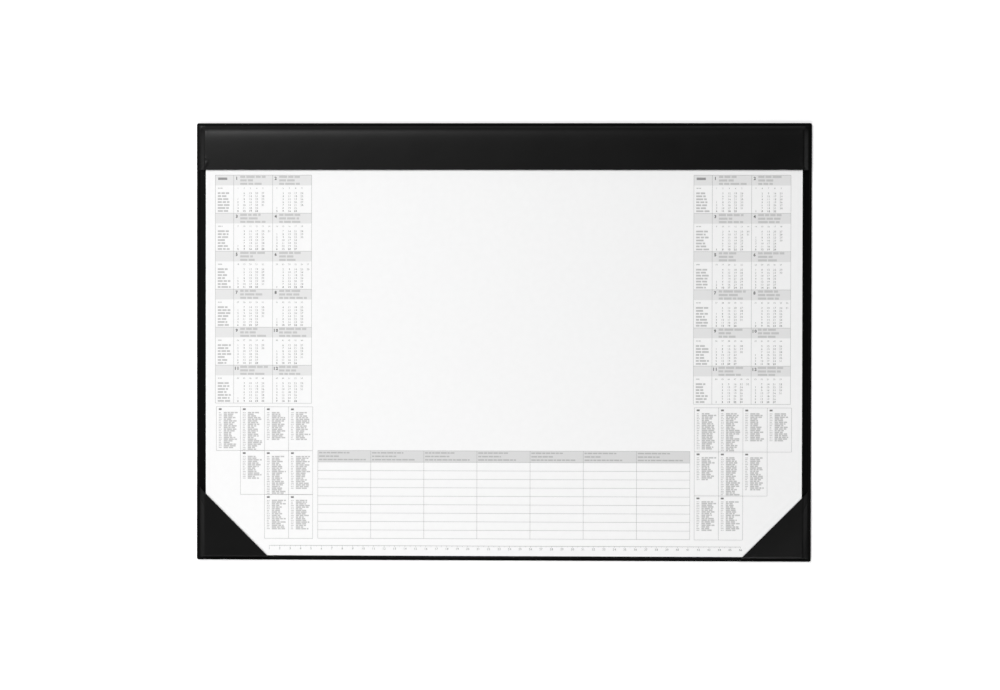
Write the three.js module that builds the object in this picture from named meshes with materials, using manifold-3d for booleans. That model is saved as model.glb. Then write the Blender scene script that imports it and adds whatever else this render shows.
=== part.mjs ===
// A desk pad: a foam-backed mat whose head band and two corner pockets hold a pad of calendar sheets.
// Millimetres, +Z up, +Y towards the head band. The origin is the centre of the mat's underside.
import * as THREE from "three";
import { mergeVertices } from "three/addons/utils/BufferGeometryUtils.js";
import Module from "manifold-3d";

const wasm = await Module();
wasm.setup();

// The mat: a smooth foil bonded to a soft foam that grips the desk.
const cornerRadius = 2;
const cornerSteps = 6;
const foamThickness = 1.5;
const foamInset = 0.5;
const foilThickness = 0.6;
const foilEdgeRound = 0.2;

// The weld that runs round the mat just inside its edge, and the groove that it leaves in the foil.
const weldWidth = 2.8;
const grooveWidth = 1;
const grooveDepth = 0.2;
const grooveSlope = 0.25;

// The pad: sheets glued along the head to a grey board.
const padWidth = 571.7;
const padDepth = 403.3;
const boardThickness = 0.6;
const sheetThickness = 0.1;
const sheetCount = 25;
const glueThickness = 0.4;

// The skins: one foil over the head of the pad, and one over each of its lower corners. They climb from the
// weld to the top of the pad over a width of their own at the head, the sides and the foot.
const skinThickness = 0.5;
const seatGap = 0.3;
const headClimb = 8;
const sideClimb = 5.55;
const footClimb = 1.1;
const bandDepth = 45.2;
const bandRollReach = 3;
const bandPuff = 0.8;
const bandPuffReach = 10;
const pocketLegLeft = 72.8;
const pocketLegRight = 70.2;
const pocketPuff = 0.35;

// The share of a climb that is rounded at each end.
const climbBend = 0.12;

// How finely the curved skins are divided.
const riseSteps = 7;
const panelSteps = 10;

// Levels and places that follow from the sizes above.
const foilTop = foamThickness + foilThickness;
const boardTop = foilTop + boardThickness;
const sheetsTop = boardTop + sheetThickness * sheetCount;
const skinRise = sheetsTop + seatGap - foilTop;
const weldInset = weldWidth + skinThickness + seatGap;
const matWidth = padWidth + 2 * (weldInset + sideClimb);
const matDepth = weldInset + footClimb + padDepth + glueThickness + headClimb + weldInset;
const padLowY = -matDepth / 2 + weldInset + footClimb;
const padHighY = padLowY + padDepth;

const black = { color: 0x17181a, roughness: 0.42, metalness: 0 };
const foamGrey = { color: 0x232426, roughness: 0.95, metalness: 0 };
const white = { color: 0xf4f4f2, roughness: 0.8, metalness: 0 };
const boardGrey = { color: 0xa39a8b, roughness: 0.9, metalness: 0 };
const glueClear = { color: 0xe3dfd2, roughness: 0.5, metalness: 0 };

// A named sub-part with its own material.
function piece(name, geometry, finish) {
  const mesh = new THREE.Mesh(geometry, new THREE.MeshStandardMaterial(finish));
  mesh.name = name;
  return mesh;
}

// The outline of a rectangle with rounded corners, drawn inset from the mat's edge.
function matOutline(inset) {
  const halfX = matWidth / 2 - inset;
  const halfY = matDepth / 2 - inset;
  const radius = Math.max(cornerRadius - inset, 0.05);
  const centres = [[1, 1], [-1, 1], [-1, -1], [1, -1]];
  return centres.flatMap(([sx, sy], quarter) =>
    Array.from({ length: cornerSteps + 1 }, (_, step) => {
      const angle = (quarter + step / cornerSteps) * (Math.PI / 2);
      return [
        sx * (halfX - radius) + radius * Math.cos(angle),
        sy * (halfY - radius) + radius * Math.sin(angle),
      ];
    }),
  );
}

// A plate built from rings of [inset, height], from the middle of the underside to the middle of the top.
function ringPlate(rings) {
  const outlines = rings.map(([inset, z]) => matOutline(inset).map(([x, y]) => [x, y, z]));
  const count = outlines[0].length;
  const points = [...outlines.flat(), [0, 0, rings[0][1]], [0, 0, rings[rings.length - 1][1]]];
  const lowCentre = count * rings.length;
  const highCentre = lowCentre + 1;
  const lastRing = count * (rings.length - 1);
  const index = [];
  for (let i = 0; i < count; i++) {
    const next = (i + 1) % count;
    index.push(lowCentre, next, i);
    index.push(highCentre, lastRing + i, lastRing + next);
    for (let ring = 0; ring < rings.length - 1; ring++) {
      const low = ring * count;
      const high = low + count;
      index.push(low + i, low + next, high + next, low + i, high + next, high + i);
    }
  }
  return solidGeometry(points.flat(), index);
}

function solidGeometry(positions, index) {
  const geometry = new THREE.BufferGeometry();
  geometry.setAttribute("position", new THREE.Float32BufferAttribute(positions, 3));
  geometry.setIndex(index);
  geometry.computeVertexNormals();
  return geometry;
}

// A slab over a grid of x and y lines, between two height functions, with straight walls round it.
function heightSlab(xs, ys, lowAt, highAt) {
  const columns = xs.length;
  const rows = ys.length;
  const layer = (heightAt) => ys.flatMap((y) => xs.flatMap((x) => [x, y, heightAt(x, y)]));
  const positions = [...layer(highAt), ...layer(lowAt)];
  const low = columns * rows;
  const at = (column, row) => row * columns + column;
  const index = [];
  for (let row = 0; row < rows - 1; row++) {
    for (let column = 0; column < columns - 1; column++) {
      const [a, b] = [at(column, row), at(column + 1, row)];
      const [c, d] = [at(column + 1, row + 1), at(column, row + 1)];
      index.push(a, b, c, a, c, d);
      index.push(low + a, low + c, low + b, low + a, low + d, low + c);
    }
  }
  const wall = (from, to) => index.push(from, low + from, low + to, from, low + to, to);
  for (let column = 0; column < columns - 1; column++) {
    wall(at(column, 0), at(column + 1, 0));
    wall(at(column + 1, rows - 1), at(column, rows - 1));
  }
  for (let row = 0; row < rows - 1; row++) {
    wall(at(columns - 1, row), at(columns - 1, row + 1));
    wall(at(0, row + 1), at(0, row));
  }
  return solidGeometry(positions, index);
}

function toManifold(geometry) {
  const bare = geometry.clone();
  bare.deleteAttribute("normal");
  bare.deleteAttribute("uv");
  const merged = mergeVertices(bare, 1e-4);
  return new wasm.Manifold(
    new wasm.Mesh({
      numProp: 3,
      vertProperties: merged.getAttribute("position").array,
      triVerts: new Uint32Array(merged.index.array),
    }),
  );
}

function fromManifold(solid) {
  const mesh = solid.getMesh();
  return solidGeometry(Array.from(mesh.vertProperties), Array.from(mesh.triVerts));
}

// Keeps only what of a blank lies inside an outline, as a die cuts it.
function dieCut(blank, outline) {
  const shape = new THREE.Shape(outline.map(([x, y]) => new THREE.Vector2(x, y)));
  const die = new THREE.ExtrudeGeometry(shape, { depth: 4 * sheetsTop, bevelEnabled: false });
  return fromManifold(toManifold(blank).intersect(toManifold(die)));
}

// From 0 to 1 along a straight slope with rounded ends, as a taut foil climbs from a weld to an edge.
function tautRise(t) {
  const rounded = (u) => Math.min(Math.max(u, 0), climbBend) ** 2 / (2 * climbBend) + Math.max(u - climbBend, 0);
  return (rounded(t) - rounded(t - 1 + climbBend)) / (1 - climbBend);
}

// From 0 to nearly 1, steep at first and ever gentler, as a stiff foil arches away from a weld.
function archRise(distance, reach) {
  return 1 - Math.exp(-Math.max(distance, 0) / reach);
}

// Grid lines from an edge of the mat inwards: the weld, the climb of both faces, then the panel to a limit.
function inwardLines(climb, limit) {
  const outer = Array.from({ length: riseSteps + 1 }, (_, i) => weldWidth + (climb * i) / riseSteps);
  const climbEnd = weldWidth + climb + skinThickness;
  const panel = Array.from(
    { length: panelSteps + 1 },
    (_, i) => climbEnd + ((limit - climbEnd) * i) / panelSteps,
  );
  return [0, ...outer, ...panel];
}

// The head band, welded along the head and both ends and open towards the writing surface.
function headerBand() {
  const reach = matWidth / 4;
  const fromSide = inwardLines(sideClimb, reach).slice(0, riseSteps + 3);
  const xs = [...fromSide.map((d) => d - matWidth / 2), ...fromSide.map((d) => matWidth / 2 - d).reverse()];
  const ys = inwardLines(headClimb, bandDepth).map((d) => matDepth / 2 - d).reverse();
  const height = (x, y, lag) => {
    const side = matWidth / 2 - Math.abs(x) - weldWidth - lag;
    const head = matDepth / 2 - y - weldWidth - lag;
    const arch = skinRise * archRise(head, bandRollReach) + bandPuff * archRise(head, bandPuffReach);
    return tautRise(side / sideClimb) * arch;
  };
  const blank = heightSlab(
    xs,
    ys,
    (x, y) => foilTop + height(x, y, skinThickness),
    (x, y) => foilTop + skinThickness + height(x, y, 0),
  );
  return dieCut(blank, matOutline(0));
}

// A corner pocket, a right triangle welded along its two legs. side is -1 on the left and 1 on the right.
function cornerPocket(side, leg) {
  const cornerX = (side * matWidth) / 2;
  const cornerY = -matDepth / 2;
  const fromSide = inwardLines(sideClimb, leg);
  const xs = fromSide.map((d) => cornerX - side * d).sort((a, b) => a - b);
  const ys = inwardLines(footClimb, leg).map((d) => cornerY + d);
  const height = (x, y, lag) => {
    const inward = side * (cornerX - x) - weldWidth - lag;
    const upward = y - cornerY - weldWidth - lag;
    const climb = tautRise(inward / sideClimb) * tautRise(upward / footClimb);
    const open = 1 - (inward + upward) / (leg - 2 * weldWidth);
    return climb * (skinRise + pocketPuff * Math.sin(Math.PI * Math.min(Math.max(open, 0), 1)));
  };
  const blank = heightSlab(
    xs,
    ys,
    (x, y) => foilTop + height(x, y, skinThickness),
    (x, y) => foilTop + skinThickness + height(x, y, 0),
  );
  const corner = matOutline(0).filter(([x, y]) => side * x > 0 && y < 0);
  const legEnds = [[cornerX, cornerY + leg], [cornerX - side * leg, cornerY]];
  const outline = side < 0 ? [legEnds[0], ...corner, legEnds[1]] : [legEnds[1], ...corner, legEnds[0]];
  return dieCut(blank, outline);
}

function padLayer(thickness, bottom) {
  const geometry = new THREE.BoxGeometry(padWidth, padDepth, thickness);
  return geometry.translate(0, padLowY + padDepth / 2, bottom + thickness / 2);
}

function glueStrip() {
  const height = sheetsTop - foilTop;
  const geometry = new THREE.BoxGeometry(padWidth, glueThickness, height);
  return geometry.translate(0, padHighY + glueThickness / 2, foilTop + height / 2);
}

const grooveOuter = weldWidth - grooveWidth / 2;
const grooveInner = weldWidth + grooveWidth / 2;
const foilRings = [
  [foilEdgeRound, foamThickness],
  [0, foamThickness + foilEdgeRound],
  [0, foilTop - foilEdgeRound],
  [foilEdgeRound, foilTop],
  [grooveOuter, foilTop],
  [grooveOuter + grooveSlope, foilTop - grooveDepth],
  [grooveInner - grooveSlope, foilTop - grooveDepth],
  [grooveInner, foilTop],
];
const foamRings = [
  [foamInset, 0],
  [foamInset, foamThickness],
];

const deskPad = new THREE.Group();
deskPad.add(
  piece("foam_backing", ringPlate(foamRings), foamGrey),
  piece("mat_foil", ringPlate(foilRings), black),
  piece("backing_board", padLayer(boardThickness, foilTop), boardGrey),
  piece("calendar_sheets", padLayer(sheetsTop - boardTop, boardTop), white),
  piece("glue_binding", glueStrip(), glueClear),
  piece("header_band", headerBand(), black),
  piece("corner_pocket_left", cornerPocket(-1, pocketLegLeft), black),
  piece("corner_pocket_right", cornerPocket(1, pocketLegRight), black),
);

export default deskPad;
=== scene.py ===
"""A black desk pad: a foil mat whose welded band and corner pockets hold a pad of printed sheets."""

import bmesh
import bpy
import numpy as np
from mathutils import Euler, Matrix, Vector


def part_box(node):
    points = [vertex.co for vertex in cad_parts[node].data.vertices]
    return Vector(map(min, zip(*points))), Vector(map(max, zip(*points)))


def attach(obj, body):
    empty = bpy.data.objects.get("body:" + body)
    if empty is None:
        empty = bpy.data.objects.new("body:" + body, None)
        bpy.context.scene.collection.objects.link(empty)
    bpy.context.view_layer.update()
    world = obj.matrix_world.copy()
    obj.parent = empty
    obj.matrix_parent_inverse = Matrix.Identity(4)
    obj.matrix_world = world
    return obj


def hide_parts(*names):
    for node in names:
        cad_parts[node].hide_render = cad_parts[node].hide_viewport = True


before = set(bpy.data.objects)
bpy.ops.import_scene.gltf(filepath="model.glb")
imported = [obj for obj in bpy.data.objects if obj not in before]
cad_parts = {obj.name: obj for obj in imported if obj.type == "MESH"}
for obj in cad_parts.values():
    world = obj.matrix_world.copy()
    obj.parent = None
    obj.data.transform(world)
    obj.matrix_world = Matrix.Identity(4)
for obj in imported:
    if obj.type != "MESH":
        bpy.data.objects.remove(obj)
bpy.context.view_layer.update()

# Millimetres below, metres in every mesh.
MM = 0.001

# The mat and what lies on it, as the model gives them.
foil_low, foil_high = (np.array(corner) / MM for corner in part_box("mat_foil"))
foam_low, foam_high = (np.array(corner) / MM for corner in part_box("foam_backing"))
board_low, board_high = (np.array(corner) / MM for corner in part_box("backing_board"))
sheets_low, sheets_high = (np.array(corner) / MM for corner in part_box("calendar_sheets"))
band_low, band_high = (np.array(corner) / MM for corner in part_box("header_band"))
left_low, left_high = (np.array(corner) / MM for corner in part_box("corner_pocket_left"))
right_low, right_high = (np.array(corner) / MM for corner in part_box("corner_pocket_right"))

# The foil skins and their welds.
CORNER_RADIUS = 2.0
SKIN = 0.5
WELD = 2.8
SEAT_GAP = 0.3
GROOVE_WIDTH = 1.2
GROOVE_DEPTH = 0.22
BAND_ROLL_REACH = 3.0
BAND_PUFF = 0.8
BAND_PUFF_REACH = 10.0
POCKET_PUFF = 0.35
POCKET_TIP = 0.6

# The band's ripple: its height, its two wavelengths divided by 2 pi, and the phase of the longer.
RIPPLE_HEIGHT = 0.05
RIPPLE_LONG = 31
RIPPLE_SHORT = 12.7
RIPPLE_PHASE = 0.6

# Steps of the grids over the skins.
BAND_STEPS_DOWN = 90
BAND_STEPS_ALONG = 320
POCKET_STEPS = 84

# The foam under the mat and the squares of its grip.
FOAM_EDGE_RADIUS = 0.25
GRIP_PITCH = 7.0
GRIP_CHANNEL = 1.2
GRIP_DEPTH = 0.35
GRIP_TAPER = 0.2

# The pad's board and its printed sheets.
BOARD_CORNER_RADIUS = 0.3
BOARD_CHAMFER = 0.1
SHEET_COUNT = 25
# The share of a sheet's pitch that is paper.
SHEET_FILL = 0.84
SHEET_SHIFT = 0.12
TINT_HEIGHT = 0.02
RULE_HEIGHT = 0.03
INK_HEIGHT = 0.04

# The smooth shading of the foil breaks at edges that turn by more than this.
FOIL_CREASE_DEGREES = 50

SEED = 7

# The four quads that join corners 0 to 3 of one square to corners 4 to 7 of another.
BETWEEN_SQUARES = [[k, (k + 1) % 4, (k + 1) % 4 + 4, k + 4] for k in range(4)]


def new_object(name, vertices, faces, material):
    """Adds a mesh from points in millimetres and faces that all have the same number of corners."""
    mesh = bpy.data.meshes.new(name)
    points = np.asarray(vertices, np.float32).reshape(-1, 3) * MM
    corners = np.asarray(faces, np.int32)
    count, sides = corners.shape
    mesh.vertices.add(len(points))
    mesh.vertices.foreach_set("co", points.ravel())
    mesh.loops.add(count * sides)
    mesh.loops.foreach_set("vertex_index", corners.ravel())
    mesh.polygons.add(count)
    mesh.polygons.foreach_set("loop_start", np.arange(count, dtype=np.int32) * sides)
    mesh.update(calc_edges=True)
    mesh.validate()
    mesh.shade_flat()
    mesh.materials.append(material)
    piece = bpy.data.objects.new(name, mesh)
    bpy.context.scene.collection.objects.link(piece)
    return piece


def shade_smooth(piece, sharp_degrees=None):
    """Smooth shading, broken at edges that turn by more than a given angle."""
    piece.data.shade_smooth()
    if sharp_degrees is not None:
        piece.data.set_sharp_from_angle(angle=np.radians(sharp_degrees))


def taut(t, bend=0.12):
    """0 to 1 as a pulled foil climbs: a straight slope, rounded over a share b of its width at both ends.

    It is (r(t) - r(t - 1 + b)) / (1 - b), where r(u) is u^2 / 2b up to b and u - b/2 beyond.
    """

    def rounded(u):
        return np.clip(u, 0, bend) ** 2 / (2 * bend) + np.maximum(u - bend, 0)

    return (rounded(t) - rounded(t - 1 + bend)) / (1 - bend)


def bell(t):
    """A hump of height 1 at t = 0 that dies away over a width of 1: e^(-t^2)."""
    return np.exp(-t * t)


def edge_spacing(count):
    """0 to 1 in steps that are finest at both ends: (1 - cos(pi k / n)) / 2."""
    return (1 - np.cos(np.pi * np.arange(count + 1) / count)) / 2


def grid_faces(index):
    """Quads between the neighbours of a 2-D array of vertex numbers."""
    corners = (index[:-1, :-1], index[:-1, 1:], index[1:, 1:], index[1:, :-1])
    return np.stack(corners, axis=-1).reshape(-1, 4)


def skin_shell(name, middle, edge_distance, welded_distance, thickness):
    """A foil of one thickness round a middle surface, closed along its rim, with its weld pressed smooth.

    Each face lies half a thickness from the middle along its normal. Near the rim the half thickness is
    t/2 * sqrt(1 - (1 - d / (t/2))^2), where d is the distance to the rim, so the edge is round.
    """
    along = np.gradient(middle, axis=1)
    across = np.gradient(middle, axis=0)
    normal = np.cross(along, across)
    normal /= np.linalg.norm(normal, axis=2, keepdims=True)
    normal *= np.where(normal[..., 2:] < 0, -1, 1)
    radius = thickness / 2
    near = np.clip(edge_distance / radius, 0, 1)
    half = radius * np.sqrt(1 - (1 - near) ** 2)
    half[[0, -1], :] = 0
    half[:, [0, -1]] = 0
    top = middle + normal * half[..., None]
    bottom = middle - normal * half[..., None]
    rows, columns = half.shape
    top_index = np.arange(rows * columns).reshape(rows, columns)
    inner = np.arange((rows - 2) * (columns - 2)).reshape(rows - 2, columns - 2) + rows * columns
    bottom_index = top_index.copy()
    bottom_index[1:-1, 1:-1] = inner
    points = np.concatenate([top.reshape(-1, 3), bottom[1:-1, 1:-1].reshape(-1, 3)])
    faces = np.concatenate([grid_faces(top_index), grid_faces(bottom_index)[:, ::-1]])
    sense = np.cross(along[1, 1], across[1, 1])[2]
    piece = new_object(name, points, faces if sense > 0 else faces[:, ::-1], skin_foil)
    piece.data.materials.append(pressed_foil)
    share = (welded_distance[:-1, :-1] + welded_distance[1:, 1:]) / 2
    pressed = np.tile((share < WELD).ravel(), 2).astype(np.int32)
    piece.data.polygons.foreach_set("material_index", pressed)
    shade_smooth(piece, FOIL_CREASE_DEGREES)
    return piece


def rounded_rectangle(low, high, radius, inset, steps=8, least_bend=0.05):
    """Points anticlockwise round a rectangle inset from its box, with quarter circles at the corners."""
    centre = (low + high) / 2
    half = (high - low) / 2 - inset
    bend = max(radius - inset, least_bend)
    turn = np.linspace(0, np.pi / 2, steps + 1)
    angles = np.concatenate([turn + quarter * np.pi / 2 for quarter in range(4)])
    signs = np.repeat([[1, 1], [-1, 1], [-1, -1], [1, -1]], steps + 1, axis=0)
    ring = signs * (half[:2] - bend) + bend * np.stack([np.cos(angles), np.sin(angles)], axis=1)
    return ring + centre[:2]


def ring_plate(name, low, high, radius, profile, material, sharp_degrees=35):
    """A capped plate on a rounded rectangle, whose rim follows a profile of (inset, height)."""
    rings = [
        np.column_stack([ring, np.full(len(ring), z)])
        for ring, z in ((rounded_rectangle(low, high, radius, inset), z) for inset, z in profile)
    ]
    points = np.concatenate(rings)
    around = len(rings[0])
    index = np.arange(len(points)).reshape(len(rings), around)
    closed = np.column_stack([index, index[:, :1]])
    faces = grid_faces(closed)
    centre = (low + high) / 2
    caps = np.array([[centre[0], centre[1], profile[0][1]], [centre[0], centre[1], profile[-1][1]]])
    low_cap = np.column_stack([np.full(around, len(points)), closed[0, 1:], closed[0, :-1]])
    high_cap = np.column_stack([np.full(around, len(points) + 1), closed[-1, :-1], closed[-1, 1:]])
    mesh = bpy.data.meshes.new(name)
    everything = np.concatenate([points, caps]) * MM
    polygons = faces.tolist() + low_cap.tolist() + high_cap.tolist()
    mesh.from_pydata(everything.tolist(), [], polygons)
    mesh.update()
    mesh.materials.append(material)
    piece = bpy.data.objects.new(name, mesh)
    bpy.context.scene.collection.objects.link(piece)
    shade_smooth(piece, sharp_degrees)
    return piece


def flat_boxes(name, boxes, bottom, top, material, taper=0.0):
    """A closed thin box for each (x0, x1, y0, y1), between two heights, drawn in below by a taper."""
    edges = np.asarray(boxes, float).reshape(-1, 4)
    xs = edges[:, [0, 1, 1, 0]]
    ys = edges[:, [2, 2, 3, 3]]
    low_xs = xs + taper * np.array([1, -1, -1, 1])
    low_ys = ys + taper * np.array([1, 1, -1, -1])
    low = np.stack([low_xs, low_ys, np.full_like(xs, bottom)], axis=2)
    high = np.stack([xs, ys, np.full_like(xs, top)], axis=2)
    points = np.concatenate([low, high], axis=1)
    pattern = np.array([[3, 2, 1, 0], [4, 5, 6, 7], *BETWEEN_SQUARES])
    faces = pattern[None] + 8 * np.arange(len(edges))[:, None, None]
    return new_object(name, points, faces.reshape(-1, 4), material)


# Materials: each is a Principled shader with its own nodes on Object coordinates.


def node_material(name, roughness, specular=0.5):
    """A new material with its nodes, its links, its shader and an Object coordinate."""
    material = bpy.data.materials.new(name)
    material.use_nodes = True
    nodes = material.node_tree.nodes
    links = material.node_tree.links
    shader = nodes["Principled BSDF"]
    shader.inputs["Roughness"].default_value = roughness
    shader.inputs["Specular IOR Level"].default_value = specular
    where = nodes.new("ShaderNodeTexCoord").outputs["Object"]
    return material, nodes, links, shader, where


def noise(nodes, links, where, size, detail=2.0):
    """Noise whose features are about size millimetres wide."""
    texture = nodes.new("ShaderNodeTexNoise")
    texture.inputs["Scale"].default_value = 1 / (size * MM)
    texture.inputs["Detail"].default_value = detail
    links.new(where, texture.inputs["Vector"])
    return texture.outputs["Fac"]


def cells(nodes, links, where, size):
    """The distance from the middles of cells about size millimetres wide."""
    texture = nodes.new("ShaderNodeTexVoronoi")
    texture.inputs["Scale"].default_value = 1 / (size * MM)
    links.new(where, texture.inputs["Vector"])
    return texture.outputs["Distance"]


def two_colours(nodes, links, factor, low, high, start=0.3, end=0.7):
    """A colour that runs from one grey or colour to another as a factor rises."""
    ramp = nodes.new("ShaderNodeValToRGB")
    ramp.color_ramp.elements[0].position = start
    ramp.color_ramp.elements[1].position = end
    ramp.color_ramp.elements[0].color = (*low, 1)
    ramp.color_ramp.elements[1].color = (*high, 1)
    links.new(factor, ramp.inputs["Fac"])
    return ramp.outputs["Color"]


def bumped(nodes, links, shader, height, depth, strength=1.0):
    """Bump of a real depth in millimetres, laid over any bump that is there already."""
    bump = nodes.new("ShaderNodeBump")
    bump.inputs["Strength"].default_value = strength
    bump.inputs["Distance"].default_value = depth * MM
    links.new(height, bump.inputs["Height"])
    socket = shader.inputs["Normal"]
    if socket.is_linked:
        links.new(socket.links[0].from_socket, bump.inputs["Normal"])
    links.new(bump.outputs["Normal"], socket)


def grey(value, warm=0.0):
    """A grey in linear light, a little warm where warm is above 0."""
    return (value * (1 + warm), value, value * (1 - warm))


def foil_material(name, specular):
    """Black soft foil: satin, with a fine pressed grain and a faint cloudiness in its gloss."""
    material, nodes, links, shader, where = node_material(name, roughness=0.42, specular=specular)
    cloud = noise(nodes, links, where, size=60, detail=3)
    links.new(two_colours(nodes, links, cloud, grey(0.0014), grey(0.0022)), shader.inputs["Base Color"])
    gloss = nodes.new("ShaderNodeMapRange")
    gloss.inputs["To Min"].default_value = 0.39
    gloss.inputs["To Max"].default_value = 0.44
    links.new(noise(nodes, links, where, size=18, detail=4), gloss.inputs["Value"])
    links.new(gloss.outputs["Result"], shader.inputs["Roughness"])
    bumped(nodes, links, shader, cells(nodes, links, where, size=0.7), depth=0.02, strength=0.35)
    bumped(nodes, links, shader, noise(nodes, links, where, size=14, detail=2), depth=0.12, strength=0.5)
    return material


def foam_material():
    """Dull black foam with small cells, painted darker in their sunken middles as painted shade, and a faint
    unevenness.
    """
    material, nodes, links, shader, where = node_material("black_foam", roughness=0.95, specular=0.2)
    cell = cells(nodes, links, where, size=0.5)
    # Painted shade: each cell is darkest at its middle, where the bump below sinks it into a pit.
    shade = two_colours(nodes, links, cell, grey(0.012), grey(0.03), start=0.0, end=0.6)
    links.new(shade, shader.inputs["Base Color"])
    bumped(nodes, links, shader, noise(nodes, links, where, size=5, detail=2), depth=0.1, strength=0.4)
    bumped(nodes, links, shader, cell, depth=0.06, strength=0.5)
    return material


def paper_material(name, shade, warm=0.0, tooth=0.012):
    """Uncoated paper: a soft tooth, fine fibres and a trace of look-through cloud."""
    material, nodes, links, shader, where = node_material(name, roughness=0.88, specular=0.25)
    cloud = noise(nodes, links, where, size=6, detail=5)
    tone = two_colours(nodes, links, cloud, grey(shade * 0.985, warm), grey(shade, warm))
    links.new(tone, shader.inputs["Base Color"])
    bumped(nodes, links, shader, noise(nodes, links, where, size=0.25, detail=6), depth=tooth, strength=0.4)
    return material


def ink_material(name, shade, spread=0.15):
    """Printing ink that has sunk into paper, a little uneven."""
    material, nodes, links, shader, where = node_material(name, roughness=0.75, specular=0.3)
    mottle = noise(nodes, links, where, size=0.4, detail=4)
    tone = two_colours(nodes, links, mottle, grey(shade * (1 - spread)), grey(shade))
    links.new(tone, shader.inputs["Base Color"])
    bumped(nodes, links, shader, noise(nodes, links, where, size=0.25, detail=6), depth=0.01, strength=0.3)
    return material


def board_material():
    """Grey board: short fibres and flecks."""
    material, nodes, links, shader, where = node_material("grey_board", roughness=0.93, specular=0.2)
    fleck = noise(nodes, links, where, size=0.6, detail=8)
    tone = two_colours(nodes, links, fleck, grey(0.27, 0.08), grey(0.4, 0.09))
    links.new(tone, shader.inputs["Base Color"])
    bumped(nodes, links, shader, fleck, depth=0.05, strength=0.6)
    return material


def glue_material():
    """Dried padding glue: a rubbery cream film."""
    material, nodes, links, shader, where = node_material("padding_glue", roughness=0.45, specular=0.5)
    blotch = noise(nodes, links, where, size=3, detail=3)
    tone = two_colours(nodes, links, blotch, (0.66, 0.62, 0.52), (0.78, 0.75, 0.66))
    links.new(tone, shader.inputs["Base Color"])
    bumped(nodes, links, shader, blotch, depth=0.1, strength=0.5)
    return material


skin_foil = foil_material("black_foil", specular=0.23)
pressed_foil = foil_material("pressed_foil", specular=0.07)
foam = foam_material()
paper = paper_material("writing_paper", 0.93)
stack_paper = paper_material("sheet_edges", 0.84, warm=0.004, tooth=0.03)
tint = ink_material("grey_tint", 0.79, spread=0.03)
planner_tint = ink_material("planner_tint", 0.71, spread=0.03)
rule_ink = ink_material("rule_ink", 0.38, spread=0.1)
word_ink = ink_material("word_ink", 0.57, spread=0.1)
head_word_ink = ink_material("head_word_ink", 0.6, spread=0.1)
planner_ink = ink_material("planner_ink", 0.5, spread=0.1)
year_ink = ink_material("year_ink", 0.34)
text_ink = ink_material("text_ink", 0.22)
bold_ink = ink_material("bold_ink", 0.1)
board = board_material()
glue = glue_material()


# The mat.

FOIL_TOP = foil_high[2]
PAPER_TOP = sheets_high[2]
LIFT = PAPER_TOP + SEAT_GAP - FOIL_TOP


def grip_places(low, high):
    """The middles of the squares that fit between two edges, a pitch apart and centred."""
    count = int((high - low) / GRIP_PITCH)
    return (low + high) / 2 + (np.arange(count) - (count - 1) / 2) * GRIP_PITCH


def grip_squares():
    """The square pads of the grip, which stand down from the foam in rows with channels between them."""
    half = (GRIP_PITCH - GRIP_CHANNEL) / 2
    xs, ys = np.meshgrid(grip_places(foam_low[0], foam_high[0]), grip_places(foam_low[1], foam_high[1]))
    boxes = np.stack([xs - half, xs + half, ys - half, ys + half], axis=-1)
    return flat_boxes("grip_squares", boxes, foam_low[2], foam_low[2] + GRIP_DEPTH, foam, taper=GRIP_TAPER)


def mat_pieces():
    """The foil with its rounded edge and pressed weld, the foam under it and the grip under the foam."""
    edge = (FOIL_TOP - foil_low[2]) / 2
    middle = foil_low[2] + edge
    turn = np.radians(np.linspace(-90, 90, 9))
    rim = [(edge * (1 - np.cos(a)), middle + edge * np.sin(a)) for a in turn]
    across = np.linspace(-1, 1, 11)
    groove = [(WELD + GROOVE_WIDTH / 2 * s, FOIL_TOP - GROOVE_DEPTH * (1 - s * s) ** 2) for s in across]
    mat = ring_plate(
        "mat_cover", foil_low, foil_high, CORNER_RADIUS, rim + groove, pressed_foil, sharp_degrees=60
    )
    soft = FOAM_EDGE_RADIUS
    straight = (foam_high[2] - foam_low[2] - GRIP_DEPTH) / 2 - soft
    centre = (foam_high[2] + foam_low[2] + GRIP_DEPTH) / 2
    turn = np.radians(np.linspace(-90, 90, 7))
    side = [(soft * (1 - np.cos(a)), centre + straight * np.sign(a) + soft * np.sin(a)) for a in turn]
    base = ring_plate("grip_foam", foam_low, foam_high, CORNER_RADIUS, side, foam, sharp_degrees=60)
    squares = grip_squares()
    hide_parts("mat_foil")
    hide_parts("foam_backing")
    return [mat, base, squares]


def climb(distance, width):
    """0 at a weld to 1 on the pad, for the middle of a skin."""
    return taut((distance - WELD - SKIN / 2) / width)


SIDE_CLIMB = sheets_low[0] - foil_low[0] - WELD - SKIN - SEAT_GAP
FOOT_CLIMB = sheets_low[1] - foil_low[1] - WELD - SKIN - SEAT_GAP


def crease(x, y, start, direction, length, width, height):
    """A fold line: a ridge of a bell's section along a ray, fading in and out over its length."""
    unit = np.array(direction, float)
    unit /= np.linalg.norm(unit)
    along = (x - start[0]) * unit[0] + (y - start[1]) * unit[1]
    aside = (y - start[1]) * unit[0] - (x - start[0]) * unit[1]
    run = np.clip(along / length, 0, 1)
    return height * bell(aside / width) * np.sin(np.pi * run)


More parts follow.
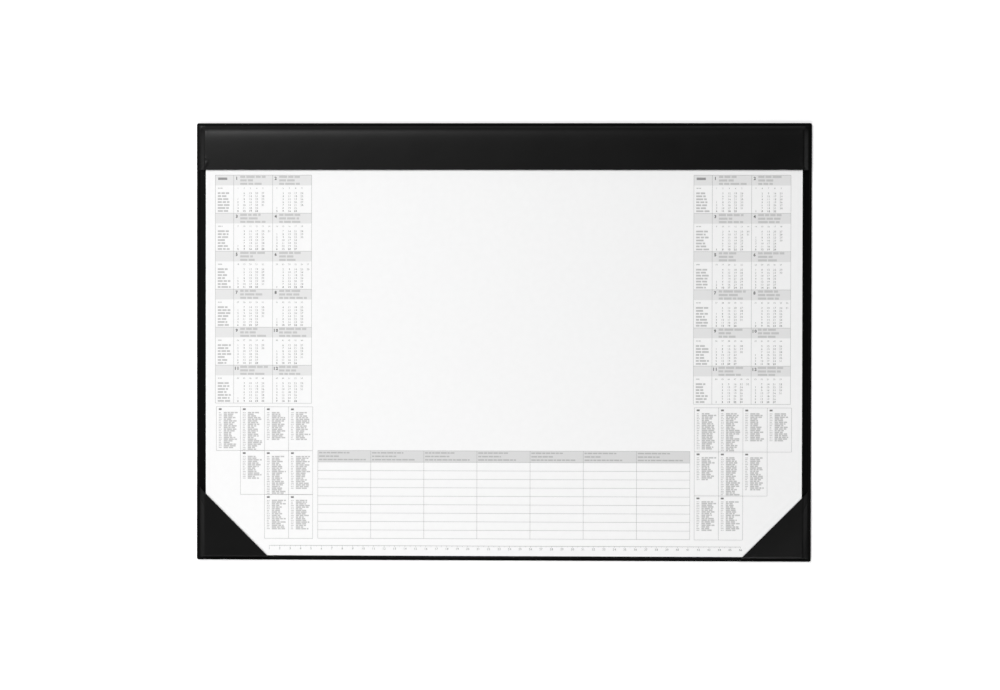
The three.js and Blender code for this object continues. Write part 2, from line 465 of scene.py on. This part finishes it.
def head_band():
    """The band's middle surface is climb(side) * (lift * g(d, r1) + puff * g(d, r2) + ripple).

    There d is the distance from the head weld, r1 and r2 are the reaches of the roll and the puff, and
    g(d, r) = 1 - e^(-d / r). The ripple is a product of two sines along the band that fades out at the weld
    and the free edge. Short folds lie beside the end welds.
    """
    depth = band_high[1] - band_low[1]
    down = edge_spacing(BAND_STEPS_DOWN) * depth
    y = band_high[1] - down
    notch = np.clip(CORNER_RADIUS - down, 0, CORNER_RADIUS)
    half = (band_high[0] - band_low[0]) / 2 - CORNER_RADIUS + np.sqrt(CORNER_RADIUS**2 - notch**2)
    s = edge_spacing(BAND_STEPS_ALONG) * 2 - 1
    x = s[None, :] * half[:, None]
    y = np.repeat(y[:, None], len(s), axis=1)
    side = half[:, None] - np.abs(x)
    head = band_high[1] - y
    foot = y - band_low[1]
    across = np.clip((head - WELD) / (depth - WELD), 0, 1)
    free = np.maximum(head - WELD - SKIN / 2, 0)
    arch = LIFT * (1 - np.exp(-free / BAND_ROLL_REACH)) + BAND_PUFF * (1 - np.exp(-free / BAND_PUFF_REACH))
    waves = np.sin(x / RIPPLE_LONG + RIPPLE_PHASE) * np.sin(x / RIPPLE_SHORT)
    ripple = RIPPLE_HEIGHT * waves * np.sin(np.pi * across)
    rise = climb(side, SIDE_CLIMB) * (arch + ripple)
    # Each fold's y at its start, its slope towards the middle, its length, its width and its height.
    folds = (
        (band_low[1] - 2, 1.1, 13, 1.2, 0.3),
        (band_low[1] + 4, 0.5, 11, 1.2, 0.22),
        (band_low[1] + 15, -0.6, 12, 1.4, 0.17),
        (band_high[1] - WELD, -0.8, 12, 1.1, 0.15),
    )
    for sign in (-1, 1):
        end = sign * (half[-1] - WELD)
        for place, slope, length, width, height in folds:
            rise += crease(x, y, (end, place), (-sign, slope), length, width, height)
    middle = np.stack([x, y, FOIL_TOP + SKIN / 2 + rise], axis=2)
    edge = np.minimum(np.minimum(side, head), foot)
    band = skin_shell("head_band_foil", middle, edge, np.minimum(side, head), SKIN)
    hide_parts("header_band")
    return band


def corner_pocket(name, node, low, high, side):
    """A foil triangle whose middle surface is climb(side) * climb(foot) * (lift + puff), folded at its tips.

    The puff is a half sine of the distance from the free slanting edge, up to half the leg along the foot.
    Rows run from the foot of the mat to the tip, and each row from the mat's side to the free slanting edge,
    with one point moved onto the weld line.
    """
    leg_x = high[0] - low[0]
    leg_y = high[1] - low[1]
    up = edge_spacing(POCKET_STEPS) * (leg_y - POCKET_TIP)
    notch = np.clip(CORNER_RADIUS - up, 0, CORNER_RADIUS)
    start = CORNER_RADIUS - np.sqrt(CORNER_RADIUS**2 - notch**2)
    stop = leg_x * (1 - up / leg_y)
    s = edge_spacing(POCKET_STEPS)
    inward = start[:, None] + (stop - start)[:, None] * s[None, :]
    wide = stop > 2 * WELD
    inward[wide, np.argmin(np.abs(inward - WELD), axis=1)[wide]] = WELD
    upward = np.repeat(up[:, None], len(s), axis=1)
    slant = (1 - inward / leg_x - upward / leg_y) * leg_x * leg_y / np.hypot(leg_x, leg_y)
    open_share = np.clip(slant / (leg_x / 2), 0, 1)
    puff = POCKET_PUFF * np.sin(np.pi * open_share)
    rise = climb(inward, SIDE_CLIMB) * climb(upward, FOOT_CLIMB) * (LIFT + puff)
    tip = leg_y - WELD - SIDE_CLIMB
    # Each fold's start, direction, length, width and height.
    folds = (
        ((WELD, tip - 4), (1, -1.9), 13, 0.8, 0.22),
        ((WELD, tip - 11), (1, -0.9), 10, 0.9, 0.16),
        ((leg_x - 9, WELD), (-1.6, 1), 11, 0.8, 0.14),
    )
    for place, direction, length, width, height in folds:
        rise += crease(inward, upward, place, direction, length, width, height)
    edge_x = low[0] if side < 0 else high[0]
    x = edge_x - side * inward
    y = low[1] + upward
    middle = np.stack([x, y, FOIL_TOP + SKIN / 2 + rise], axis=2)
    edge = np.minimum(np.minimum(inward - start[:, None], upward), np.maximum(slant, 0))
    pocket = skin_shell(name, middle, edge, np.minimum(inward, upward), SKIN)
    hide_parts(node)
    return pocket


# The pad of sheets.


def sheet_pieces():
    """Thin sheets, each a hair out of line, with the printed one on top and the board below."""
    rng = np.random.default_rng(SEED)
    width = sheets_high[0] - sheets_low[0]
    pitch = (PAPER_TOP - sheets_low[2]) / SHEET_COUNT
    bottoms = sheets_low[2] + pitch * np.arange(SHEET_COUNT)
    shift = rng.uniform(-SHEET_SHIFT, SHEET_SHIFT, (SHEET_COUNT, 2))
    shift[-1] = 0
    corners = [-width / 2, width / 2, sheets_low[1], sheets_high[1]]
    boxes = np.tile(corners, (SHEET_COUNT, 1))
    boxes[:, :2] += shift[:, :1]
    boxes[:, 2] += shift[:, 1]
    layers = [
        flat_boxes("layer", box, low, low + pitch * SHEET_FILL, stack_paper)
        for box, low in zip(boxes[:-1], bottoms[:-1])
    ]
    stack = joined("lower_sheets", layers)
    top = flat_boxes("top_sheet", boxes[-1], PAPER_TOP - pitch, PAPER_TOP, paper)
    rim = [
        (BOARD_CHAMFER, board_low[2]),
        (0, board_low[2] + BOARD_CHAMFER),
        (0, board_high[2] - BOARD_CHAMFER),
        (BOARD_CHAMFER, board_high[2]),
    ]
    back = ring_plate("pad_board", board_low, board_high, BOARD_CORNER_RADIUS, rim, board)
    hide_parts("calendar_sheets")
    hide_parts("backing_board")
    return [stack, top, back]


def joined(name, pieces):
    """One object from several."""
    work = bmesh.new()
    for piece in pieces:
        work.from_mesh(piece.data)
    mesh = bpy.data.meshes.new(name)
    work.to_mesh(mesh)
    work.free()
    mesh.shade_flat()
    mesh.materials.append(pieces[0].data.materials[0])
    for piece in pieces:
        bpy.data.objects.remove(piece)
    whole = bpy.data.objects.new(name, mesh)
    bpy.context.scene.collection.objects.link(whole)
    return whole


# Print. Places are in millimetres from the mat's centre, or from the left and the top of a block or box.

BLOCK_TOP = 159.9
BLOCK_ROWS = 6
BLOCK_ROW_PITCH = 36.5
BLOCK_LEFTS = {"left": -276.7, "right": 182.2}
NAME_COLUMN = 17.6
MONTH_COLUMN = 37.5
MONTHS_ACROSS = 2
MONTH_HEADER = 9.8
WEEK_ROW_DROP = 12.5
DAY_ROW_DROP = 17.3
DAY_ROW_PITCH = 2.85
DAY_COLUMN_START = 4.1
DAY_COLUMN_PITCH = 6.0
DAY_HEIGHT = 1.75
YEAR_SPAN = (2.6, 11.4)
YEAR_DROPS = (4.6, 2.3)
WEEK_WORD_INDENT = 2.4
WEEK_WORD_LENGTH = 4.5
WEEK_WORD_HEIGHT = 0.9
WEEKDAY_NAME_INDENT = 2.2
WEEKDAY_NAME_LENGTHS = (8, 13)
WEEKDAY_NAME_HEIGHT = 1.6
MONTH_NAME_INDENT = 6.3
MONTH_NAME_DROPS = (1.6, 5.0, 8.3)
MONTH_NAME_LENGTHS = (16, 27)
MONTH_NAME_CUTS = (0, 5, 0)
MONTH_NAME_HEIGHT = 2.0
MONTH_NUMBER_INDENT = 2.9
MONTH_NUMBER_DROP = 3
WEEK_HEIGHT = 1.4
MONTH_NUMBER_HEIGHT = 3.1
DAYS_IN_MONTH = (31, 28, 31, 30, 31, 30, 31, 31, 30, 31, 30, 31)
FIRST_WEEKDAY = {"left": 2, "right": 3}
WEEKDAYS = 7

RULE_WIDTH = 0.28

# Lengths of words, their gaps and the steps of numerals, as shares of the height.
WORD_LENGTHS = (1.6, 4.6)
WORD_GAP = 0.55
NUMERAL_STEP = 0.82

BOX_ROW_LINES = (-62.5, -104.7, -146.9, -189.1)
BOX_LEFTS = {"left": -275.7, "right": 183.2}
BOX_PITCH = 23.2
LIST_LINES = ((22, 23, 17, 17), (14, 23, 20), (18, 18))
LIST_DROP = 5.7
LIST_CODE_SPAN = (2.2, 5.0)
LIST_CODE_DROP = 2.45
LIST_CODE_HEIGHT = 1.6
LIST_PITCH = 1.6
LIST_WORD_INDENT = 7.0
LIST_WORD_LENGTHS = (7, 14)
LIST_WORD_HEIGHT = 1.25
LIST_DATE_INDENT = 2.2
LIST_DATE_LENGTH = 2.8
LIST_DATE_HEIGHT = 0.7

PLANNER_LEFT = -178.0
PLANNER_PITCH = 51.0
PLANNER_COLUMNS = 7
PLANNER_TOP = -104.4
PLANNER_HEADER = 11.1
PLANNER_ROWS = 9
PLANNER_ROW_PITCH = 8.15
PLANNER_NAME_INDENT = 1.2
PLANNER_NAME_HEIGHT = 1.3
# Each line of a header: its drop below the top, its least length and its greatest.
PLANNER_NAME_LINES = ((2.1, 24, 32), (5.5, 17, 24), (8.7, 36, 46))

RULER_Y = -195.8
RULER_NUMBER_Y = -198.6
RULER_START = -224.7
RULER_PITCH = 10.05
RULER_MARKS = 46
RULER_NUMBER_HEIGHT = 2.0
RULER_TICK = (1.4, 0.2)
RULER_HALF_TICK = (0.9, 0.16)


def upright(x, y0, y1, width=RULE_WIDTH):
    """A thin upright line as a box."""
    return (x - width / 2, x + width / 2, min(y0, y1), max(y0, y1))


def level(x0, x1, y, width=RULE_WIDTH):
    """A thin level line as a box."""
    return (min(x0, x1), max(x0, x1), y - width / 2, y + width / 2)


def words(rng, x, y, length, height):
    """A line of words as a row of plain bars of uneven length, centred on y."""
    bars = []
    end = x + length
    while x < end - height:
        word = rng.uniform(*WORD_LENGTHS) * height
        stop = min(x + word, end)
        bars.append((x, stop, y - height / 2, y + height / 2))
        x = stop + WORD_GAP * height
    return bars


def digit_shapes(weight):
    """The ten digits of the built-in face as closed solids, one unit high and one unit thick."""
    shapes = []
    for digit in "0123456789":
        curve = bpy.data.curves.new("digit", "FONT")
        curve.body = digit
        curve.resolution_u = 2
        curve.extrude = 0.5
        curve.offset = weight
        letter = bpy.data.objects.new("digit", curve)
        bpy.context.scene.collection.objects.link(letter)
        bpy.context.view_layer.update()
        solid = letter.evaluated_get(bpy.context.evaluated_depsgraph_get()).to_mesh()
        work = bmesh.new()
        work.from_mesh(solid)
        bmesh.ops.remove_doubles(work, verts=work.verts, dist=1e-4)
        bmesh.ops.triangulate(work, faces=work.faces)
        bmesh.ops.recalc_face_normals(work, faces=work.faces)
        points = np.array([vertex.co for vertex in work.verts])
        faces = np.array([[vertex.index for vertex in face.verts] for face in work.faces])
        work.free()
        bpy.data.objects.remove(letter)
        bpy.data.curves.remove(curve)
        low = points.min(axis=0)
        high = points.max(axis=0)
        scale = 1 / (high[1] - low[1])
        centre = np.array([(low[0] + high[0]) / 2, (low[1] + high[1]) / 2, low[2]])
        points = (points - centre) * (scale, scale, 1)
        shapes.append((points, faces))
    return shapes


def numerals(name, labels, shapes, material):
    """Numbers as closed solids: labels are (text, x, y, height) with x and y at the middle of each number."""
    placed = {digit: [] for digit in range(10)}
    for text, x, y, height in labels:
        advance = NUMERAL_STEP * height
        for place, digit in enumerate(text):
            offset = (place - (len(text) - 1) / 2) * advance
            placed[int(digit)].append((x + offset, y, height))
    points, faces = [], []
    count = 0
    for digit, spots in placed.items():
        if not spots:
            continue
        shape, triangles = shapes[digit]
        spots = np.array(spots)
        copies = np.empty((len(spots), *shape.shape))
        copies[..., :2] = shape[None, :, :2] * spots[:, None, 2:] + spots[:, None, :2]
        copies[..., 2] = PAPER_TOP + shape[None, :, 2] * INK_HEIGHT
        points.append(copies.reshape(-1, 3))
        steps = count + len(shape) * np.arange(len(spots))
        faces.append((triangles[None] + steps[:, None, None]).reshape(-1, 3))
        count += len(shape) * len(spots)
    return new_object(name, np.concatenate(points), np.concatenate(faces), material)


def printed(name, boxes, height, ink):
    """Thin boxes of ink that stand on the top sheet."""
    return flat_boxes(name, boxes, PAPER_TOP, PAPER_TOP + height, ink)


def month_places(side):
    """For each month of a block: its number, left edge and top, its first day's weekday and its days."""
    weekday = FIRST_WEEKDAY[side]
    for month, days in enumerate(DAYS_IN_MONTH):
        row, column = divmod(month, MONTHS_ACROSS)
        left = BLOCK_LEFTS[side] + NAME_COLUMN + column * MONTH_COLUMN
        yield month + 1, left, BLOCK_TOP - row * BLOCK_ROW_PITCH, weekday, days
        weekday = (weekday + days) % WEEKDAYS


def calendar_print(side, thin, bold, heavy_type):
    """One block of twelve months: grey headers, rules, week and day numbers, and bars for the names."""
    rng = np.random.default_rng(SEED + len(side))
    left = BLOCK_LEFTS[side]
    right = left + NAME_COLUMN + MONTHS_ACROSS * MONTH_COLUMN
    tints, rules, bars, head_bars, heavy = [], [], [], [], []
    days, sundays, weeks, months = [], [], [], []
    for row in range(BLOCK_ROWS):
        top = BLOCK_TOP - row * BLOCK_ROW_PITCH
        tints.append((left, right, top - MONTH_HEADER, top))
        rules.append(level(left, right, top))
        week_word = left + WEEK_WORD_INDENT
        bars += words(rng, week_word, top - WEEK_ROW_DROP, WEEK_WORD_LENGTH, WEEK_WORD_HEIGHT)
        for weekday in range(WEEKDAYS):
            y = top - DAY_ROW_DROP - weekday * DAY_ROW_PITCH
            length = rng.uniform(*WEEKDAY_NAME_LENGTHS)
            bars += words(rng, left + WEEKDAY_NAME_INDENT, y, length, WEEKDAY_NAME_HEIGHT)
    year_left, year_right = (left + indent for indent in YEAR_SPAN)
    year_bottom, year_top = (BLOCK_TOP - drop for drop in YEAR_DROPS)
    heavy.append((year_left, year_right, year_bottom, year_top))
    week = 1
    for number, x, top, weekday, count in month_places(side):
        number_place = (x + MONTH_NUMBER_INDENT, top - MONTH_NUMBER_DROP)
        months.append((str(number), *number_place, MONTH_NUMBER_HEIGHT))
        for drop, cut in zip(MONTH_NAME_DROPS, MONTH_NAME_CUTS):
            length = rng.uniform(*MONTH_NAME_LENGTHS) - cut
            head_bars += words(rng, x + MONTH_NAME_INDENT, top - drop, length, MONTH_NAME_HEIGHT)
        columns = -(-(weekday + count) // WEEKDAYS)
        for column in range(columns):
            place = x + DAY_COLUMN_START + column * DAY_COLUMN_PITCH
            weeks.append((str(week + column), place, top - WEEK_ROW_DROP, WEEK_HEIGHT))
        week += columns if (weekday + count) % WEEKDAYS == 0 else columns - 1
        for day in range(count):
            column, row = divmod(weekday + day, WEEKDAYS)
            place = x + DAY_COLUMN_START + column * DAY_COLUMN_PITCH
            y = top - DAY_ROW_DROP - row * DAY_ROW_PITCH
            group = sundays if row == WEEKDAYS - 1 else days
            group.append((str(day + 1), place, y, DAY_HEIGHT))
    bottom = BLOCK_TOP - BLOCK_ROWS * BLOCK_ROW_PITCH
    for x in (left, left + NAME_COLUMN, left + NAME_COLUMN + MONTH_COLUMN, right):
        rules.append(upright(x, BLOCK_TOP, bottom))
    rules.append(level(left, right, bottom))
    return [
        printed(f"month_headers_{side}", tints, TINT_HEIGHT, tint),
        printed(f"calendar_rules_{side}", rules, RULE_HEIGHT, rule_ink),
        printed(f"weekday_names_{side}", bars, INK_HEIGHT, word_ink),
        printed(f"month_names_{side}", head_bars, INK_HEIGHT, head_word_ink),
        printed(f"year_bar_{side}", heavy, INK_HEIGHT, year_ink),
        numerals(f"day_numbers_{side}", days, thin, text_ink),
        numerals(f"sunday_numbers_{side}", sundays, bold, bold_ink),
        numerals(f"week_numbers_{side}", weeks, thin, text_ink),
        numerals(f"month_numbers_{side}", months, heavy_type, bold_ink),
    ]


def list_boxes(side):
    """The stepped boxes of short lists under a block, one fewer in each row towards the foot."""
    rng = np.random.default_rng(SEED + 3 * len(side))
    rules, bars, heavy = [], [], []
    for row, line_counts in enumerate(LIST_LINES):
        first = row if side == "left" else 0
        top, bottom = BOX_ROW_LINES[row], BOX_ROW_LINES[row + 1]
        start = BOX_LEFTS[side] + first * BOX_PITCH
        stop = start + len(line_counts) * BOX_PITCH
        rules += [level(start, stop, top), level(start, stop, bottom)]
        rules += [upright(start + k * BOX_PITCH, top, bottom) for k in range(len(line_counts) + 1)]
        for k, line_count in enumerate(line_counts):
            x = start + k * BOX_PITCH
            middle = top - LIST_CODE_DROP
            half = LIST_CODE_HEIGHT / 2
            heavy.append((x + LIST_CODE_SPAN[0], x + LIST_CODE_SPAN[1], middle - half, middle + half))
            for line in range(line_count):
                y = top - LIST_DROP - line * LIST_PITCH
                bars += words(rng, x + LIST_DATE_INDENT, y, LIST_DATE_LENGTH, LIST_DATE_HEIGHT)
                length = rng.uniform(*LIST_WORD_LENGTHS)
                bars += words(rng, x + LIST_WORD_INDENT, y, length, LIST_WORD_HEIGHT)
    return [
        printed(f"list_rules_{side}", rules, RULE_HEIGHT, rule_ink),
        printed(f"list_words_{side}", bars, INK_HEIGHT, word_ink),
        printed(f"list_codes_{side}", heavy, INK_HEIGHT, text_ink),
    ]


def planner_table():
    """The week's table: seven headed columns of ruled lines."""
    rng = np.random.default_rng(SEED + 20)
    right = PLANNER_LEFT + PLANNER_COLUMNS * PLANNER_PITCH
    header_bottom = PLANNER_TOP - PLANNER_HEADER
    bottom = header_bottom - PLANNER_ROWS * PLANNER_ROW_PITCH
    heights = [header_bottom - k * PLANNER_ROW_PITCH for k in range(PLANNER_ROWS + 1)]
    rules = [level(PLANNER_LEFT, right, y) for y in heights]
    rules.append(level(PLANNER_LEFT, right, PLANNER_TOP))
    bars = []
    for k in range(PLANNER_COLUMNS + 1):
        rules.append(upright(PLANNER_LEFT + k * PLANNER_PITCH, PLANNER_TOP, bottom))
    for k in range(PLANNER_COLUMNS):
        x = PLANNER_LEFT + k * PLANNER_PITCH + PLANNER_NAME_INDENT
        for drop, shortest, longest in PLANNER_NAME_LINES:
            bars += words(rng, x, PLANNER_TOP - drop, rng.uniform(shortest, longest), PLANNER_NAME_HEIGHT)
    header = [(PLANNER_LEFT, right, header_bottom, PLANNER_TOP)]
    return [
        printed("planner_header", header, TINT_HEIGHT, planner_tint),
        printed("planner_rules", rules, RULE_HEIGHT, rule_ink),
        printed("planner_names", bars, INK_HEIGHT, planner_ink),
    ]


def foot_ruler(thin):
    """The centimetre ruler along the foot: a line, a tick at each mark and half mark, and plain numbers."""
    stop = RULER_START + (RULER_MARKS - 1) * RULER_PITCH
    rules = [level(RULER_START, stop, RULER_Y)]
    labels = []
    for mark in range(RULER_MARKS):
        x = RULER_START + mark * RULER_PITCH
        length, width = RULER_TICK
        rules.append(upright(x, RULER_Y, RULER_Y - length, width))
        if mark < RULER_MARKS - 1:
            length, width = RULER_HALF_TICK
            rules.append(upright(x + RULER_PITCH / 2, RULER_Y, RULER_Y - length, width))
        labels.append((str(mark + 1), x, RULER_NUMBER_Y, RULER_NUMBER_HEIGHT))
    return [
        printed("ruler_lines", rules, RULE_HEIGHT, text_ink),
        numerals("ruler_numbers", labels, thin, text_ink),
    ]


def print_pieces():
    """All that is printed on the top sheet."""
    thin = digit_shapes(weight=0.0)
    bold = digit_shapes(weight=0.02)
    heavy_type = digit_shapes(weight=0.035)
    pieces = planner_table() + foot_ruler(thin)
    for side in ("left", "right"):
        pieces += calendar_print(side, thin, bold, heavy_type) + list_boxes(side)
    return pieces


# The studio.

# The camera's place, lens and sensor in millimetres, and how far it sees in metres.
CAMERA_PLACE = (50.7, 24.0, 2268.0)
CAMERA_TURN_DEGREES = (-0.675, 1.361, 0.091)
CAMERA_LENS = 85.0
SENSOR_WIDTH = 36.0
CAMERA_REACH = 50.0

# Each lamp's place and width in metres and its power in watts.
LAMPS = {
    "key": ((-1.0, 1.25, 2.0), 0.8, 40.0),
    "left_fill": ((-2.6, -0.6, 1.8), 1.4, 5.0),
    "foot_fill": ((-0.4, -2.6, 1.8), 1.4, 74.0),
    "right_glow": ((0.75, -0.8, 2.0), 0.6, 3.1),
}

# The sky by the height of the line of sight, from 0 at the horizon to 1 overhead.
SKY_WHITE_BELOW = 0.15
SKY_DIM_ABOVE = 0.22
SKY_WHITE = 1
SKY_DIM = 0.03

# The floor's width and its lap under the foam in millimetres, its grey, and its glow at two distances in
# metres from the pad's middle.
FLOOR_SIZE = 12000.0
FLOOR_LAP = 1.5
FLOOR_GREY = 0.82
FLOOR_GLOW_DISTANCES = (1.0, 5.0)
FLOOR_GLOW_LEVELS = (0.4, 0.8)


def camera():
    """A long lens high over the pad, looking straight down but for a degree."""
    data = bpy.data.cameras.new("camera")
    data.lens = CAMERA_LENS
    data.sensor_width = SENSOR_WIDTH
    data.clip_end = CAMERA_REACH
    eye = bpy.data.objects.new("camera", data)
    eye.location = Vector(CAMERA_PLACE) * MM
    eye.rotation_euler = Euler(np.radians(CAMERA_TURN_DEGREES), "XYZ")
    bpy.context.scene.collection.objects.link(eye)
    bpy.context.scene.camera = eye


def area_lamp(name, place, size, power):
    """A square soft lamp that faces the pad."""
    data = bpy.data.lights.new(name, "AREA")
    data.size = size
    data.energy = power
    lamp = bpy.data.objects.new(name, data)
    lamp.location = place
    lamp.rotation_euler = (-Vector(place)).to_track_quat("-Z", "Y").to_euler()
    bpy.context.scene.collection.objects.link(lamp)


def floor_plane(material):
    """A wide level floor, open under the foam but for its rim, so that the grip shows from below."""
    turns = np.array([[-1, -1], [1, -1], [1, 1], [-1, 1]])
    outer = turns * FLOOR_SIZE / 2
    inner = (foam_low + foam_high)[:2] / 2 + turns * ((foam_high - foam_low)[:2] / 2 - FLOOR_LAP)
    corners = np.column_stack([np.concatenate([outer, inner]), np.zeros(8)])
    return new_object("floor", corners, BETWEEN_SQUARES, material)


def sky():
    """White round the horizon and dim above, so that a level view has a plain background."""
    world = bpy.data.worlds.new("sky")
    world.use_nodes = True
    nodes = world.node_tree.nodes
    links = world.node_tree.links
    where = nodes.new("ShaderNodeTexCoord").outputs["Generated"]
    split = nodes.new("ShaderNodeSeparateXYZ")
    links.new(where, split.inputs["Vector"])
    tone = two_colours(
        nodes, links, split.outputs["Z"], grey(SKY_WHITE), grey(SKY_DIM), SKY_WHITE_BELOW, SKY_DIM_ABOVE
    )
    links.new(tone, nodes["Background"].inputs["Color"])
    bpy.context.scene.world = world


def math_step(nodes, links, operation, first, second):
    """The output of a sum, product or the like of two others."""
    step = nodes.new("ShaderNodeMath")
    step.operation = operation
    links.new(first, step.inputs[0])
    links.new(second, step.inputs[1])
    return step.outputs[0]


def floor_material():
    """Pale grey that glows to white for the camera, for reflections and through clear things."""
    material, nodes, links, shader, where = node_material("pale_floor", roughness=0.9, specular=0.1)
    shader.inputs["Base Color"].default_value = (*grey(FLOOR_GREY), 1)
    rays = nodes.new("ShaderNodeLightPath").outputs
    seen = math_step(nodes, links, "MAXIMUM", rays["Is Camera Ray"], rays["Is Glossy Ray"])
    seen = math_step(nodes, links, "MAXIMUM", seen, rays["Is Transmission Ray"])
    far = nodes.new("ShaderNodeVectorMath")
    far.operation = "LENGTH"
    links.new(where, far.inputs[0])
    glow = nodes.new("ShaderNodeMapRange")
    glow.inputs["From Min"].default_value, glow.inputs["From Max"].default_value = FLOOR_GLOW_DISTANCES
    glow.inputs["To Min"].default_value, glow.inputs["To Max"].default_value = FLOOR_GLOW_LEVELS
    links.new(far.outputs["Value"], glow.inputs["Value"])
    lift = math_step(nodes, links, "MULTIPLY", seen, glow.outputs["Result"])
    shader.inputs["Emission Color"].default_value = (1, 1, 1, 1)
    links.new(lift, shader.inputs["Emission Strength"])
    return material


def studio():
    """A wide pale floor, a key lamp from the upper left, weaker lamps round the pad and a dim sky."""
    for name, (place, size, power) in LAMPS.items():
        area_lamp(name, place, size, power)
    sky()
    floor_plane(floor_material())


bpy.context.scene.view_settings.view_transform = "Standard"
camera()
studio()

made = mat_pieces()
made += sheet_pieces()
made.append(head_band())
made.append(corner_pocket("left_pocket_foil", "corner_pocket_left", left_low, left_high, -1))
made.append(corner_pocket("right_pocket_foil", "corner_pocket_right", right_low, right_high, 1))
made += print_pieces()
for piece in made:
    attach(piece, "root")
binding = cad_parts["glue_binding"]
binding.data.materials.clear()
binding.data.materials.append(glue)

bpy.context.view_layer.update()
